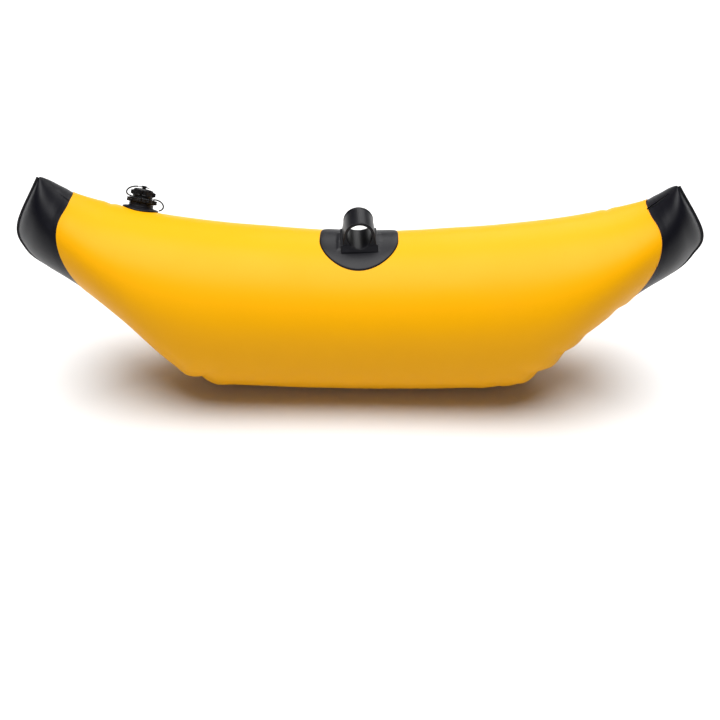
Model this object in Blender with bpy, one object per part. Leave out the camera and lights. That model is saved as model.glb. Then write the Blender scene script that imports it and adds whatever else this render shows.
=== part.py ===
"""Inflatable outrigger float for a kayak.

A banana-shaped PVC air tube with black end tips, a screw-in inflation valve with two tethered caps,
and a moulded socket on top for the cross arm. Metres, +Z up, +X along the float's length. The
origin is under the middle of the float, at the level of the keel lip's lower edge.
"""

import math

import bmesh
import bpy
import numpy as np
from mathutils import Matrix, Vector
from mathutils.bvhtree import BVHTree

MM = 0.001

# The float's lines on one side of the middle, in millimetres: the top fold (x, z), the keel and nose
# seam (x, z), the greatest half width and how sharp the section is at the seam (0 is round).
LINES = [
    (0, 224, 0, 0, 112, 0.0),
    (130, 231, 130, 3, 114, 0.0),
    (215, 239, 215, 10, 114.5, 0.0),
    (290, 251, 255, 31, 107, 0.05),
    (345, 264.5, 318, 95, 88, 0.12),
    (385, 281.5, 383, 150, 66, 0.2),
    (403, 296, 433, 183, 52, 0.25),
    (415, 308, 454.5, 209, 38, 0.3),
    (421, 314.5, 461, 245, 22, 0.3),
    (424, 318, 424, 318, 0, 0.3),
]
LAST_LINE = len(LINES) - 1

# The welded skins
SHEET = 0.9 * MM  # thickness of the coated fabric
SHEET_GAP = 0.3 * MM  # between two sheets that are welded together
LAID_GAP = 0.6 * MM  # between the skin and a disc that is laid on its curve
LIP_WIDTH = 3 * MM  # the flat weld lip outside the seam
KEEL_LIFT = LIP_WIDTH  # the lip's lower edge is the lowest line
TIP_EDGE = 4.93  # where the yellow sheet ends at the top and the keel, counted in lines
TIP_BULGE = 0.58  # how much further out its edge runs on the sides
TIP_SKEW = 1.9  # how much nearer to the top than to the keel that is
TIP_LAP = 0.077  # share of that which a black tip covers under the yellow sheet
TIP_END = 8.85  # the last open section before the point
TIP_WALL_END = 8.6  # the last section of the air space
ROUND_STEPS = 16  # section points from the top to the seam
ROWS_PER_LINE = 3

# The arm socket
ARM_BORE_R = 16 * MM
TUBE_R = 20 * MM
TUBE_LENGTH = 46 * MM
TUBE_RISE = 20.5 * MM  # from the float's top to the tube's axis
FLANGE_R = 54 * MM
FLANGE_SQUARE = 5  # power of the far half's outline, where 2 would be round
FLANGE_THICK = 1.8 * MM
FOOT_HALF_WIDTH = 26.5 * MM
FOOT_LENGTH = 60 * MM
TUBE_TOUCH = math.radians(12)  # where the block's sides meet the tube, up from its middle
TOE_EDGE = 1.5 * MM  # the toes' outer edge, over the float's top
TOE_HEIGHT = 7 * MM  # the toes where they meet the block's end faces
SEAT_DEPTH = 14 * MM
SEAT_RISE = LAID_GAP + FLANGE_THICK + 0.5 * MM  # the flange's top over the skin, and a weld's gap

# The valve, in millimetres along its own axis from the skin's outer face
VALVE_X = -310 * MM
VALVE_SIDE = 57 * MM  # from the mid plane, to the far side
BASE_R = 25 * MM
HOLE_R = 17.6 * MM
NECK_R = 17
BASE_BORE_R = 14.5
BODY_RING_R = 18.5 * MM
BODY_LUG = 2.6 * MM
CAP_R = 13.8 * MM
CAP_WING = 3.8 * MM
STRAP_R = 0.8 * MM
VALVE_STEPS = 48

YELLOW = (0.93, 0.60, 0.02, 1.0)
BLACK = (0.015, 0.015, 0.018, 1.0)
RUBBER = (0.03, 0.03, 0.03, 1.0)


def clear_scene():
    for thing in list(bpy.data.objects):
        bpy.data.objects.remove(thing)


def material(name, colour, roughness):
    made = bpy.data.materials.new(name)
    made.use_nodes = True
    shader = made.node_tree.nodes["Principled BSDF"]
    shader.inputs["Base Color"].default_value = colour
    shader.inputs["Roughness"].default_value = roughness
    return made


def add_mesh(name, points, faces, colour, roughness=0.4, place=None):
    mesh = bpy.data.meshes.new(name)
    mesh.from_pydata([tuple(p) for p in points], [], faces)
    mesh.materials.append(material(name, colour, roughness))
    mesh.shade_smooth()
    mesh.set_sharp_from_angle(angle=math.radians(35))
    thing = bpy.data.objects.new(name, mesh)
    bpy.context.scene.collection.objects.link(thing)
    if place is not None:
        thing.matrix_world = place
    return thing


def face_out(thing):
    """Turns a closed mesh's faces outwards."""
    mesh = bmesh.new()
    mesh.from_mesh(thing.data)
    bmesh.ops.recalc_face_normals(mesh, faces=mesh.faces)
    mesh.to_mesh(thing.data)
    mesh.free()
    return thing


def combine(thing, form, operation):
    form.hide_render = True
    form.display_type = "WIRE"
    tool = thing.modifiers.new(form.name, "BOOLEAN")
    tool.operation = operation
    tool.object = form
    tool.solver = "EXACT"


def cut(thing, cutter):
    combine(thing, cutter, "DIFFERENCE")


def join(thing, form):
    combine(thing, form, "UNION")


# ---------------------------------------------------------------- the air tube's surface


def lines_at(u):
    """The float's lines at u, which counts lines from the middle and is negative to the left."""
    table = np.array(LINES, float)
    side = np.where(u < 0, -1.0, 1.0)
    u = np.clip(np.abs(u), 0, LAST_LINE)
    i = np.minimum(u.astype(int), LAST_LINE - 1)
    t = (u - i)[..., None]
    mirrored = table[1] * np.array([-1, 1, -1, 1, 1, 1])
    padded = np.vstack([mirrored, table, 2 * table[-1] - table[-2]])
    before, here, after, beyond = (padded[i + k] for k in range(4))
    slope_here = (after - before) / 2
    slope_after = (beyond - here) / 2
    values = (
        here * (1 + 2 * t) * (1 - t) ** 2
        + slope_here * t * (1 - t) ** 2
        + after * t**2 * (3 - 2 * t)
        - slope_after * t**2 * (1 - t)
    )
    top_x, top_z, seam_x, seam_z, width, sharp = np.moveaxis(values, -1, 0)
    return (
        side * top_x * MM,
        top_z * MM + KEEL_LIFT,
        side * seam_x * MM,
        seam_z * MM + KEEL_LIFT,
        np.maximum(width, 0) * MM,
        np.maximum(sharp, 0),
    )


def width_shape(angle, sharp):
    """Half width against the angle from the top (0) to the seam (pi), with a peak of 1."""
    peak = 2 * np.arcsin(np.sqrt(1 / (2 + 2 * sharp)))
    highest = np.sin(peak) * np.cos(peak / 2) ** (2 * sharp)
    return np.sin(angle) * np.cos(angle / 2) ** (2 * sharp) / highest


def skin_points(u, angle, inset=0.0):
    """Points of the skin at u and at an angle from the top, on the +Y side for angles up to pi."""
    top_x, top_z, seam_x, seam_z, width, sharp = lines_at(u)
    length = np.maximum(np.hypot(seam_x - top_x, seam_z - top_z), 1e-6)
    turn = np.where(angle > np.pi, 2 * np.pi - angle, angle)
    side = np.where(angle > np.pi, -1.0, 1.0)
    step = 1e-4
    low = np.clip(turn - step, 0, np.pi)
    high = np.clip(turn + step, 0, np.pi)
    along = length * (1 - np.cos(turn)) / 2
    out = width * width_shape(turn, sharp)
    run_along = length * (np.cos(low) - np.cos(high)) / 2
    run_out = width * (width_shape(high, sharp) - width_shape(low, sharp))
    run = np.maximum(np.hypot(run_along, run_out), 1e-12)
    along = along + inset * run_out / run
    out = np.maximum(out - inset * run_along / run, 0.25 * out)
    share = along / length
    return np.stack(
        [
            top_x + (seam_x - top_x) * share,
            side * out,
            top_z + (seam_z - top_z) * share,
        ],
        -1,
    )


def seam_outward(u):
    """Unit vectors in the mid plane that point out of the seam, at right angles to it."""
    step = 0.02
    before = lines_at(u - step)
    after = lines_at(u + step)
    run = np.stack([after[2] - before[2], 0 * u, after[3] - before[3]], -1)
    run /= np.linalg.norm(run, axis=-1, keepdims=True)
    return np.stack([run[:, 2], 0 * u, -run[:, 0]], -1)


def side_angles():
    """Angles of a section's points on one side, from the top, without the seam's own."""
    return np.linspace(0, np.pi, ROUND_STEPS + 1)[:-1]


def outer_rings(edge_of, rows, inset, lip_from):
    """Rings of the outer face with the seam's lip. edge_of gives u for a row and an angle."""
    one_side = side_angles()
    rings = []
    for row in rows:
        near = skin_points(edge_of(row, one_side), one_side, inset)
        seam_u = edge_of(row, np.array([np.pi]))
        seam = skin_points(seam_u, np.array([np.pi]), inset)[0]
        out = seam_outward(seam_u)[0]
        half = min(SHEET, 0.6 * near[-1][1])
        reach = (LIP_WIDTH + inset) if abs(seam_u[0]) >= lip_from else -0.1 * MM
        low = seam - out * (0.3 * MM)
        high = seam + out * reach
        lip = [low + (0, half, 0), high + (0, half, 0), high - (0, half, 0), low - (0, half, 0)]
        far = near[:0:-1] * (1, -1, 1)
        rings.append(np.vstack([near, lip, far]))
    return rings


def inner_rings(edge_of, rows, inset):
    """Rings of the inner face with as many points as the outer ones."""
    one_side = side_angles()
    last_step = np.pi / ROUND_STEPS
    near_angles = np.concatenate([one_side, np.pi - last_step * np.array([0.6, 0.2])])
    rings = []
    for row in rows:
        near = skin_points(edge_of(row, near_angles), near_angles, inset)
        rings.append(np.vstack([near, near[:0:-1] * (1, -1, 1)]))
    return rings


def tube_faces(ring_count, size, start=0):
    faces = []
    for i in range(ring_count - 1):
        for j in range(size):
            k = (j + 1) % size
            a, b = start + i * size, start + (i + 1) * size
            faces.append((a + j, a + k, b + k, b + j))
    return faces


def end_faces(first, size):
    """Faces across one ring, from its near side to its far side."""
    faces = [(first, first + 1, first + size - 1)]
    for j in range(1, size // 2):
        faces.append((first + j, first + j + 1, first + size - j - 1, first + size - j))
    return faces


def hull_edge(row, angle):
    """u of a hull row, from -1 at the left edge to 1 at the right edge."""
    return row * (TIP_EDGE + TIP_BULGE * width_shape(angle, TIP_SKEW))


def hull_rows():
    """The hull's rows. The first and last steps are as long as the laps."""
    inside = 1 - TIP_LAP
    count = 2 * round(ROWS_PER_LINE * TIP_EDGE * inside) + 1
    return np.concatenate([[-1], np.linspace(-inside, inside, count), [1]])


def tip_edge(side, end):
    """u of a tip's row: from -1 to 0 in the lap, and on to 1 at its end."""

    def edge(row, angle):
        yellow_edge = hull_edge(1, angle)
        if row < 0:
            return side * hull_edge(1 + row * TIP_LAP, angle)
        return side * (yellow_edge + row * (end - yellow_edge))

    return edge


def make_hull():
    """The yellow sheet: a tube that is open at both ends, with a hole for the valve."""
    rows = hull_rows()
    outer = outer_rings(hull_edge, rows, 0.0, 0.0)
    inner = inner_rings(hull_edge, rows, SHEET)
    size = len(outer[0])
    points = np.vstack(outer + inner)
    inside = len(rows) * size
    faces = tube_faces(len(rows), size)
    faces += [face[::-1] for face in tube_faces(len(rows), size, inside)]
    for edge in (0, len(rows) - 1):
        for j in range(size):
            k = (j + 1) % size
            a, b = edge * size, inside + edge * size
            faces.append((a + j, b + j, b + k, a + k))
    return face_out(add_mesh("hull_skin", points, faces, YELLOW, 0.42))


def make_tip(name, side):
    """A black end: a cup that is open towards the middle and closed at its point."""
    steps = round(ROWS_PER_LINE * (TIP_END - TIP_EDGE))
    rows = np.concatenate([[-1], np.linspace(0, 1, steps + 1)])
    inset = SHEET + SHEET_GAP
    lip_from = TIP_EDGE + 0.1
    outer = outer_rings(tip_edge(side, TIP_END), rows, inset, lip_from)
    inner = inner_rings(tip_edge(side, TIP_WALL_END), rows, inset + SHEET)
    size = len(outer[0])
    points = np.vstack(outer + inner)
    inside = len(rows) * size
    faces = tube_faces(len(rows), size)
    faces += [face[::-1] for face in tube_faces(len(rows), size, inside)]
    for j in range(size):
        k = (j + 1) % size
        faces.append((j, inside + j, inside + k, k))
    last = (len(rows) - 1) * size
    faces += end_faces(last, size)
    faces += [face[::-1] for face in end_faces(inside + last, size)]
    return face_out(add_mesh(name, points, faces, BLACK, 0.35))


def surface_tree():
    """The skin's smooth outer face, for laying other pieces on it."""
    u = np.linspace(-TIP_EDGE, TIP_EDGE, 300)
    angle = np.linspace(0, 2 * np.pi, 161)
    grid_u, grid_angle = np.meshgrid(u, angle, indexing="ij")
    points = skin_points(grid_u, grid_angle).reshape(-1, 3)
    size = len(angle)
    faces = []
    for i in range(len(u) - 1):
        for j in range(size - 1):
            a = i * size + j
            faces.append((a, a + 1, a + size + 1, a + size))
    return BVHTree.FromPolygons([Vector(p) for p in points], faces)


def height_on_skin(tree, place, x, y):
    """How far the skin is above (+) the plane of place, at x and y in that plane."""
    start = place @ Vector((x, y, 0.05))
    down = -(place.to_3x3() @ Vector((0, 0, 1)))
    hit = tree.ray_cast(start, down, 0.2)[0]
    return (place.inverted() @ hit).z


def place_on_skin(tree, x, y):
    """A frame on the skin: its Z is the outward normal and its X runs along the float."""
    hit, normal, _, _ = tree.ray_cast(Vector((x, y, 1.0)), Vector((0, 0, -1)))
    if normal.z < 0:
        normal = -normal
    along = Vector((1, 0, 0)) - normal * normal.x
    along.normalize()
    across = normal.cross(along)
    turn = Matrix((along, across, normal)).transposed().to_4x4()
    return Matrix.Translation(hit) @ turn


# ---------------------------------------------------------------- turned and laid shapes


def draped_disc(name, tree, place, radii, top, colour, reach=lambda turn: 1.0):
    """A disc whose underside lies on the skin.

    top gives the height over the skin at a radius, and reach the share of the radius at an angle.
    """
    steps = 40
    rings = []
    for radius in radii:
        ring = []
        for j in range(steps):
            turn = 2 * math.pi * j / steps
            far = radius * reach(turn)
            x, y = far * math.cos(turn), far * math.sin(turn)
            ring.append((x, y, height_on_skin(tree, place, x, y)))
        rings.append(ring)
    under = [(x, y, z + LAID_GAP) for ring in rings for x, y, z in ring]
    over = [(x, y, top(math.hypot(x, y), z)) for ring in rings for x, y, z in ring]
    middle = height_on_skin(tree, place, 0, 0)
    count = len(rings)
    points = under + over + [(0, 0, middle + LAID_GAP), (0, 0, top(0, middle))]
    half = count * steps
    faces = [face[::-1] for face in tube_faces(count, steps)]
    faces += tube_faces(count, steps, half)
    last = (count - 1) * steps
    for j in range(steps):
        k = (j + 1) % steps
        faces.append((last + j, last + k, half + last + k, half + last + j))
        faces.append((k, j, 2 * half))
        faces.append((half + j, half + k, 2 * half + 1))
    return face_out(add_mesh(name, points, faces, colour, 0.4, place))


def turned(name, outline, place, colour, roughness=0.4, steps=VALVE_STEPS, lugs=None):
    """A turned solid. outline holds (r, z) or (r, z, 1) in metres, where 1 follows the lugs."""
    points, rings, faces = [], [], []
    for corner in outline:
        radius, z = corner[:2]
        if radius == 0:
            rings.append([len(points)])
            points.append((0, 0, z))
            continue
        ring = []
        for j in range(steps):
            turn = 2 * math.pi * j / steps
            r = radius + (lugs(turn) if len(corner) == 3 else 0)
            ring.append(len(points))
            points.append((r * math.cos(turn), r * math.sin(turn), z))
        rings.append(ring)
    for i, ring in enumerate(rings):
        after = rings[(i + 1) % len(rings)]
        for j in range(steps):
            k = (j + 1) % steps
            if len(ring) == 1 and len(after) == 1:
                continue
            if len(ring) == 1:
                faces.append((ring[0], after[k], after[j]))
            elif len(after) == 1:
                faces.append((ring[j], ring[k], after[0]))
            else:
                faces.append((ring[j], ring[k], after[k], after[j]))
    return face_out(add_mesh(name, points, faces, colour, roughness, place))


def grip_lugs(count, height, share):
    """Radius added at an angle: count raised lugs, each taking a share of its pitch."""

    def added(turn):
        phase = (turn * count / (2 * math.pi)) % 1.0
        away = min(phase, 1 - phase) / (share / 2)
        return height * min(1.0, max(0.0, 2.0 - 1.6 * away))

    return added


def loop_strap(name, route, radius, place, colour):
    """A thin round strap along points in the plane of the valve's axis and the float's length."""
    curve = bpy.data.curves.new(name, "CURVE")
    curve.dimensions = "3D"
    curve.bevel_depth = radius
    curve.bevel_resolution = 2
    curve.use_fill_caps = True
    line = curve.splines.new("POLY")
    line.points.add(len(route) - 1)
    for point, (x, y, z) in zip(line.points, route):
        point.co = (x, y, z, 1)
    curve.materials.append(material(name, colour, 0.5))
    thing = bpy.data.objects.new(name, curve)
    bpy.context.scene.collection.objects.link(thing)
    thing.matrix_world = place
    return thing


def arc_route(start, end, bulge, rise=0.0, steps=14):
    """Points of a half oval from start to end, both (x, z), that stands out by bulge and rise."""
    route = []
    for i in range(steps + 1):
        turn = math.pi * i / steps
        share = (1 - math.cos(turn)) / 2
        x = start[0] + (end[0] - start[0]) * share + bulge * math.sin(turn)
        z = start[1] + (end[1] - start[1]) * share + rise * math.sin(turn)
        route.append((x, 0.0, z))
    return route


# ---------------------------------------------------------------- the arm socket


def flange_reach(turn):
    """Share of the flange's radius at an angle: round on the near side, squarer on the far side."""
    if math.sin(turn) <= 0:
        return 1.0
    power = FLANGE_SQUARE
    return (abs(math.cos(turn)) ** power + math.sin(turn) ** power) ** (-1 / power)


def make_flange(tree):
    """The disc that is welded on the top of the float."""
    place = place_on_skin(tree, 0, 0)
    radii = [FLANGE_R * share for share in (0.17, 0.34, 0.5, 0.66, 0.8, 0.92, 1.0)]
    over = LAID_GAP + FLANGE_THICK
    return draped_disc("socket_flange", tree, place, radii, lambda r, z: z + over, BLACK, flange_reach)


def socket_outline(centre_z, foot_z):
    """The block's section across the arm: the tube's round top and sides that spread to the foot."""
    points = [(FOOT_HALF_WIDTH, foot_z)]
    steps = 16
    for i in range(steps + 1):
        turn = TUBE_TOUCH + (math.pi - 2 * TUBE_TOUCH) * i / steps
        points.append((TUBE_R * math.cos(turn), centre_z + TUBE_R * math.sin(turn)))
    points.append((-FOOT_HALF_WIDTH, foot_z))
    return points


def prism(name, start, end):
    """A closed solid between two outlines of as many points, both lists of (x, y, z)."""
    size = len(start)
    faces = tube_faces(2, size)
    faces.append(tuple(range(size)))
    faces.append(tuple(range(2 * size - 1, size - 1, -1)))
    return face_out(add_mesh(name, start + end, faces, BLACK, 0.4))


def make_socket(float_top):
    """The moulded block and tube on its toes, cut to the bore and to the round flange."""
    centre_z = float_top + TUBE_RISE
    deep = float_top - SEAT_DEPTH
    outline = socket_outline(centre_z, deep)
    half = TUBE_LENGTH / 2
    socket = prism("arm_socket", [(x, -half, z) for x, z in outline], [(x, half, z) for x, z in outline])
    low = float_top + TOE_EDGE
    high = float_top + TOE_HEIGHT
    reach = FOOT_LENGTH / 2
    profile = [(-reach, deep), (-reach, low), (-half, high), (half, high), (reach, low), (reach, deep)]
    toe_half = FOOT_HALF_WIDTH - TOE_EDGE
    toes = prism("toe_form", [(-toe_half, y, z) for y, z in profile], [(toe_half, y, z) for y, z in profile])
    join(socket, toes)
    skin_axis_z = float_top - LINES[0][4] * MM
    seat = round_cutter("seat_cutter", float_top - skin_axis_z + SEAT_RISE, FOOT_HALF_WIDTH * 3, 96)
    seat.location = (0, 0, skin_axis_z)
    seat.rotation_euler = (0, math.pi / 2, 0)
    bore = round_cutter("bore_cutter", ARM_BORE_R, FOOT_LENGTH * 1.5, 40)
    bore.location = (0, 0, centre_z)
    bore.rotation_euler = (math.pi / 2, 0, 0)
    cut(socket, seat)
    cut(socket, bore)
    return socket


def round_cutter(name, radius, length, steps):
    outline = [(0, -length / 2), (radius, -length / 2), (radius, length / 2), (0, length / 2)]
    return turned(name, outline, None, BLACK, steps=steps)


# ---------------------------------------------------------------- the valve


def mm(outline):
    return [(c[0] * MM, c[1] * MM) + tuple(c[2:]) for c in outline]


def make_valve_base(tree, place):
    """The weld-on flange with the neck that the valve body screws into."""

    def top(radius, skin):
        plateau = 3.6 * MM
        edge = skin + 1.8 * MM
        share = min(1.0, max(0.0, (BASE_R - radius) / (5 * MM)))
        return edge + (plateau - edge) * share

    radii = [BASE_R * share for share in (0.24, 0.48, 0.7, 0.8, 0.9, 1.0)]
    base = draped_disc("valve_base", tree, place, radii, top, BLACK)
    neck = turned("neck_form", mm([(0, -9), (NECK_R, -9), (NECK_R, 8), (0, 8)]), place, BLACK)
    join(base, neck)
    bore = round_cutter("neck_bore", BASE_BORE_R * MM, 30 * MM, VALVE_STEPS)
    bore.matrix_world = place
    cut(base, bore)
    return base


def make_valve_body(place):
    """The screw-in body: grip ring, outer neck and a cross seat at the lower end."""
    outline = mm(
        [
            (0, -8),
            (14.1, -8),
            (14.1, 9.4),
            (BODY_RING_R / MM - 1.5, 9.4),
            (BODY_RING_R / MM, 10.6, 1),
            (BODY_RING_R / MM, 14.2, 1),
            (BODY_RING_R / MM - 1.2, 15.4),
            (12, 15.4),
            (12, 25),
            (10, 25),
            (10, -5.6),
            (0, -5.6),
        ]
    )
    body = turned("valve_body", outline, place, BLACK, lugs=grip_lugs(8, BODY_LUG, 0.5))
    for quarter in range(4):
        start = math.radians(12 + 90 * quarter)
        opening = sector_cutter(f"air_way_{quarter + 1}", 3.4 * MM, 9.2 * MM, start, place)
        cut(body, opening)
    pin_hole = turned("pin_hole", mm([(0, -12), (1.3, -12), (1.3, 0), (0, 0)]), place, BLACK, steps=16)
    cut(body, pin_hole)
    return body


def sector_cutter(name, inner, outer, start, place):
    """A quarter-ring block that cuts one air way through the cross seat."""
    steps = 6
    sweep = math.radians(66)
    rim = []
    for radius, turns in ((inner, range(steps + 1)), (outer, range(steps, -1, -1))):
        for i in turns:
            turn = start + sweep * i / steps
            rim.append((radius * math.cos(turn), radius * math.sin(turn)))
    points = [(x, y, z) for z in (-12 * MM, -2 * MM) for x, y in rim]
    size = len(rim)
    faces = [(j, (j + 1) % size, size + (j + 1) % size, size + j) for j in range(size)]
    faces.append(tuple(range(size - 1, -1, -1)))
    faces.append(tuple(range(size, 2 * size)))
    return face_out(add_mesh(name, points, faces, BLACK, 0.4, place))


def make_valve_insides(place):
    """The gaskets, the one-way flap and its pin."""
    small = 32
    turned("body_gasket", mm([(14.6, 8.3), (16.6, 8.3), (16.6, 9.1), (14.6, 9.1)]), place, RUBBER, 0.7, small)
    flap = mm([(1.6, -9.2), (12.4, -9.2), (12.4, -8.4), (1.6, -8.4)])
    turned("check_flap", flap, place, RUBBER, 0.6, small)
    pin = mm([(0, -12.6), (3, -12.6), (3, -11.6), (1, -11.6), (1, -5.2), (2.2, -5.2), (2.2, -4.4), (0, -4.4)])
    turned("flap_pin", pin, place, BLACK, 0.4, 16)
    gasket = mm([(0, 25.3), (12.4, 25.3), (12.4, 26.1), (0, 26.1)])
    turned("cap_gasket", gasket, place, RUBBER, 0.7, small)


def make_top_cap(place):
    """The sealing cap with its grip wings and the button that holds its tether."""
    outline = mm(
        [
            (12.5, 17.6),
            (CAP_R / MM, 17.6, 1),
            (CAP_R / MM, 26.8, 1),
            (12.6, 28.4),
            (2.6, 29.0),
            (2.6, 32.2),
            (4.4, 32.2),
            (4.4, 33.2),
            (0, 33.6),
            (0, 26.4),
            (12.5, 26.4),
        ]
    )
    return turned("top_cap", outline, place, BLACK, lugs=grip_lugs(4, CAP_WING, 0.22))


def make_tethers(place):
    """Two straps. Each is fixed at its lower end and has a ring that its cap turns in."""
    for name, level in (("body_tether_ring", 15.75), ("cap_tether_anchor", 16.75)):
        ring = mm([(12.4, level), (14.6, level), (14.6, level + 0.6), (12.4, level + 0.6)])
        turned(name, ring, place, BLACK, 0.5, 32)
    button = mm([(3.0, 30.6), (7.4, 30.6), (7.4, 31.6), (3.0, 31.6)])
    turned("cap_tether_ring", button, place, BLACK, 0.5, 24)
    lower = arc_route((15.5 * MM, 16.3 * MM), (26 * MM, 2.8 * MM), 9 * MM, 3 * MM)
    loop_strap("body_tether_strap", lower, STRAP_R, place, BLACK)
    upper = arc_route((-8.4 * MM, 31.1 * MM), (-15.5 * MM, 16.65 * MM), -11 * MM)
    loop_strap("cap_tether_strap", upper, STRAP_R, place, BLACK)


def make_valve(tree, hull):
    place = place_on_skin(tree, VALVE_X, VALVE_SIDE)
    hole_outline = [(0, -20 * MM), (HOLE_R, -20 * MM), (HOLE_R, 20 * MM), (0, 20 * MM)]
    hole = turned("valve_hole", hole_outline, place, BLACK)
    cut(hull, hole)
    make_valve_base(tree, place)
    make_valve_body(place)
    make_valve_insides(place)
    make_top_cap(place)
    make_tethers(place)


def main():
    clear_scene()
    tree = surface_tree()
    hull = make_hull()
    make_tip("left_tip_skin", -1)
    make_tip("right_tip_skin", 1)
    make_flange(tree)
    make_socket(LINES[0][1] * MM + KEEL_LIFT)
    make_valve(tree, hull)


if __name__ == "__main__":
    main()
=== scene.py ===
"""Visual model of an inflatable outrigger float for a kayak.

A yellow PVC air tube with black welded ends, an inflation valve with two tethered caps and a moulded
socket for the cross arm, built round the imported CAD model. Metres, +Z up, +X along the float.
"""

import logging
import math
from collections.abc import Callable, Sequence
from dataclasses import dataclass, replace
from enum import Enum

import bmesh
import bpy
import numpy as np
from mathutils import Matrix, Vector
from mathutils.bvhtree import BVHTree


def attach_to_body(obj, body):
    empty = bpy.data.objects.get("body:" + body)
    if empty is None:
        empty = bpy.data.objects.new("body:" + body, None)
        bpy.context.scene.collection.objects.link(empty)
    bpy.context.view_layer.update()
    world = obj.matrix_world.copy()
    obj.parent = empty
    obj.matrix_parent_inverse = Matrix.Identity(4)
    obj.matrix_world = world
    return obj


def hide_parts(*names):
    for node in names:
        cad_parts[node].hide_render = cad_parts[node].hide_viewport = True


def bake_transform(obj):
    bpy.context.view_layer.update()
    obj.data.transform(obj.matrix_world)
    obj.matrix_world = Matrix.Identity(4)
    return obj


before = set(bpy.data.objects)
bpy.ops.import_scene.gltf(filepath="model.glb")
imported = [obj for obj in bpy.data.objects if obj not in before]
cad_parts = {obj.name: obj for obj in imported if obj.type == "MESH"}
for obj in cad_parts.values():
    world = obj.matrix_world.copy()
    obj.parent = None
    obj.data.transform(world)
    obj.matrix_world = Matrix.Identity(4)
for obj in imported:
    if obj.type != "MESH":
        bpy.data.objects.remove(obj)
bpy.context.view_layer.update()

LOG = logging.getLogger("float")
MM = 0.001


class Body(str, Enum):
    """The CAD bodies that pieces ride on."""

    FLOAT = "float"
    CARRIER = "valve_carrier"
    SCREW = "valve_screw"
    CAP_CARRIER = "cap_carrier"
    CAP = "cap_screw"


class Slot(str, Enum):
    """The record's material slots."""

    YELLOW = "pvc_yellow"
    BLACK = "pvc_black"
    MOULDED = "moulded_black"
    VALVE = "valve_plastic"
    GASKET = "gasket_rubber"


class Side(float, Enum):
    """The two ends of the float along X."""

    LEFT = -1.0
    RIGHT = 1.0


# ---------------------------------------------------------------- materials


def linear(hex_colour: str) -> tuple[float, float, float, float]:
    """Turns an sRGB hex colour into the linear RGBA that shaders take.

    Args:
        hex_colour: Six hex digits with a leading #.

    Returns:
        Linear red, green, blue and an alpha of 1.
    """
    parts = [int(hex_colour[i : i + 2], 16) / 255 for i in (1, 3, 5)]
    values = [c / 12.92 if c <= 0.04045 else ((c + 0.055) / 1.055) ** 2.4 for c in parts]
    return (*values, 1.0)


class NodeSheet:
    """A material's node tree, with one way to add a node."""

    def __init__(self, name: str) -> None:
        """Makes the material and finds its shader.

        Args:
            name: The material's name.
        """
        self.material = bpy.data.materials.new(name)
        self.material.use_nodes = True
        self.tree = self.material.node_tree
        self.shader = self.tree.nodes["Principled BSDF"]

    def add(self, kind: str, settings: dict | None = None, **inputs: object) -> bpy.types.Node:
        """Adds a node.

        Args:
            kind: The node type without its ShaderNode prefix.
            settings: Properties of the node itself.
            **inputs: Input names, with spaces as underscores, and a value or an output socket for each.

        Returns:
            The new node.
        """
        node = self.tree.nodes.new("ShaderNode" + kind)
        for key, value in (settings or {}).items():
            setattr(node, key, value)
        for key, value in inputs.items():
            self.feed(node, key.replace("_", " "), value)
        return node

    def feed(self, node: bpy.types.Node, key: str, value: object) -> None:
        """Links or sets one input.

        Args:
            node: The node that takes the value.
            key: The input's name, or its number as text.
            value: A value or an output socket.
        """
        socket = node.inputs[int(key.strip("in "))] if key.startswith("in") else node.inputs[key]
        if isinstance(value, bpy.types.NodeSocket):
            self.tree.links.new(value, socket)
        else:
            socket.default_value = value

    def ramp(self, factor: bpy.types.NodeSocket, low: float, high: float) -> bpy.types.NodeSocket:
        """Stretches a value between low and high to 0 and 1, and clamps it.

        Args:
            factor: The value's socket.
            low: What becomes 0.
            high: What becomes 1.

        Returns:
            The result's socket.
        """
        node = self.add("MapRange", {"clamp": True}, Value=factor, From_Min=low, From_Max=high)
        return node.outputs["Result"]

    def math(self, operation: str, first: object, second: object = 0.0) -> bpy.types.NodeSocket:
        """Adds a math node.

        Args:
            operation: Its operation, such as MULTIPLY.
            first: The first value or socket.
            second: The second value or socket.

        Returns:
            The result's socket.
        """
        return self.add("Math", {"operation": operation}, in0=first, in1=second).outputs[0]


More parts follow.
